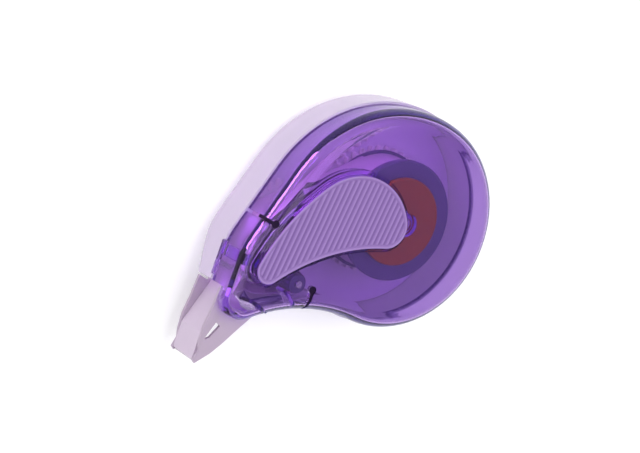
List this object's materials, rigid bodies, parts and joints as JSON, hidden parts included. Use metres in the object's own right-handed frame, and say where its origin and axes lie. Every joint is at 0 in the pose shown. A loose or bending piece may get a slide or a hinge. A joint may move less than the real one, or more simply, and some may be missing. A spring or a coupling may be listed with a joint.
{
  "type": "correction tape roller",
  "caption": "Teardrop correction tape roller with a transparent front shell, milky back shell, ribbed grip pad, geared tape reels and a slim applicator head.",
  "frame": {"origin": "on the flat back face, on the axis of the supply reel", "axes": "+Z through the thickness from the back face to the front face, -X towards the applicator tip, +Y towards the convex top edge"},
  "size_m": [0.0816, 0.0542, 0.0206],
  "materials": {
    "purple_shell": "glossy transparent purple polystyrene",
    "milky_shell": "glossy milky translucent plastic",
    "grip_lilac": "matte soft-touch lilac",
    "head_milky": "satin translucent moulding",
    "frame_plastic": "satin moulded plastic",
    "gear_plastic": "satin acetal",
    "blue_grey_plastic": "satin moulded plastic",
    "tan_plastic": "satin moulded plastic",
    "tape_white": "matte coated tape",
    "liner": "thin glossy liner film",
    "steel": "drawn steel wire"
  },
  "bodies": {
    "casing": {"back_cover": "milky_shell", "back_grip_pad": "grip_lilac", "cartridge_frame": "frame_plastic", "applicator_head": "head_milky", "nose_guide_pin": "steel", "guide_roller_pin": "steel", "feed_tape": "tape_white", "return_liner": "liner"},
    "front_shell": {"front_cover": "purple_shell", "grip_pad": "grip_lilac"},
    "drive": {"drive_gear": "gear_plastic", "clutch_ring": "tan_plastic", "hub_disc": "tan_plastic"},
    "supply_reel": {"supply_core": "blue_grey_plastic", "supply_disc": "blue_grey_plastic", "supply_tape_roll": "tape_white"},
    "takeup_reel": {"takeup_gear": "gear_plastic", "takeup_core": "blue_grey_plastic", "takeup_disc": "blue_grey_plastic", "takeup_wind": "liner"},
    "guide": {"guide_roller": "blue_grey_plastic"}
  },
  "joints": [
    {"name": "front_shell_lift", "type": "slide", "parent": "casing", "child": "front_shell", "axis": [0, 0, 1], "range_m": [0, 0.03]},
    {"name": "drive_spin", "type": "hinge", "parent": "casing", "child": "drive", "pos_m": [0, 0, 0.0041], "axis": [0, 0, 1], "continuous": true},
    {"name": "supply_spin", "type": "hinge", "parent": "casing", "child": "supply_reel", "pos_m": [0, 0, 0.0097], "axis": [0, 0, 1], "continuous": true},
    {"name": "takeup_spin", "type": "hinge", "parent": "casing", "child": "takeup_reel", "pos_m": [-0.02105, 0.00951, 0.0041], "axis": [0, 0, 1], "continuous": true},
    {"name": "guide_spin", "type": "hinge", "parent": "casing", "child": "guide", "pos_m": [-0.0276, 0.0009, 0.0097], "axis": [0, 0, 1], "continuous": true}
  ],
  "couplings": [
    {"joint": "supply_spin", "follows": "drive_spin", "ratio": 1},
    {"joint": "takeup_spin", "follows": "drive_spin", "ratio": -1.5385},
    {"joint": "guide_spin", "follows": "drive_spin", "ratio": 6.2857}
  ]
}
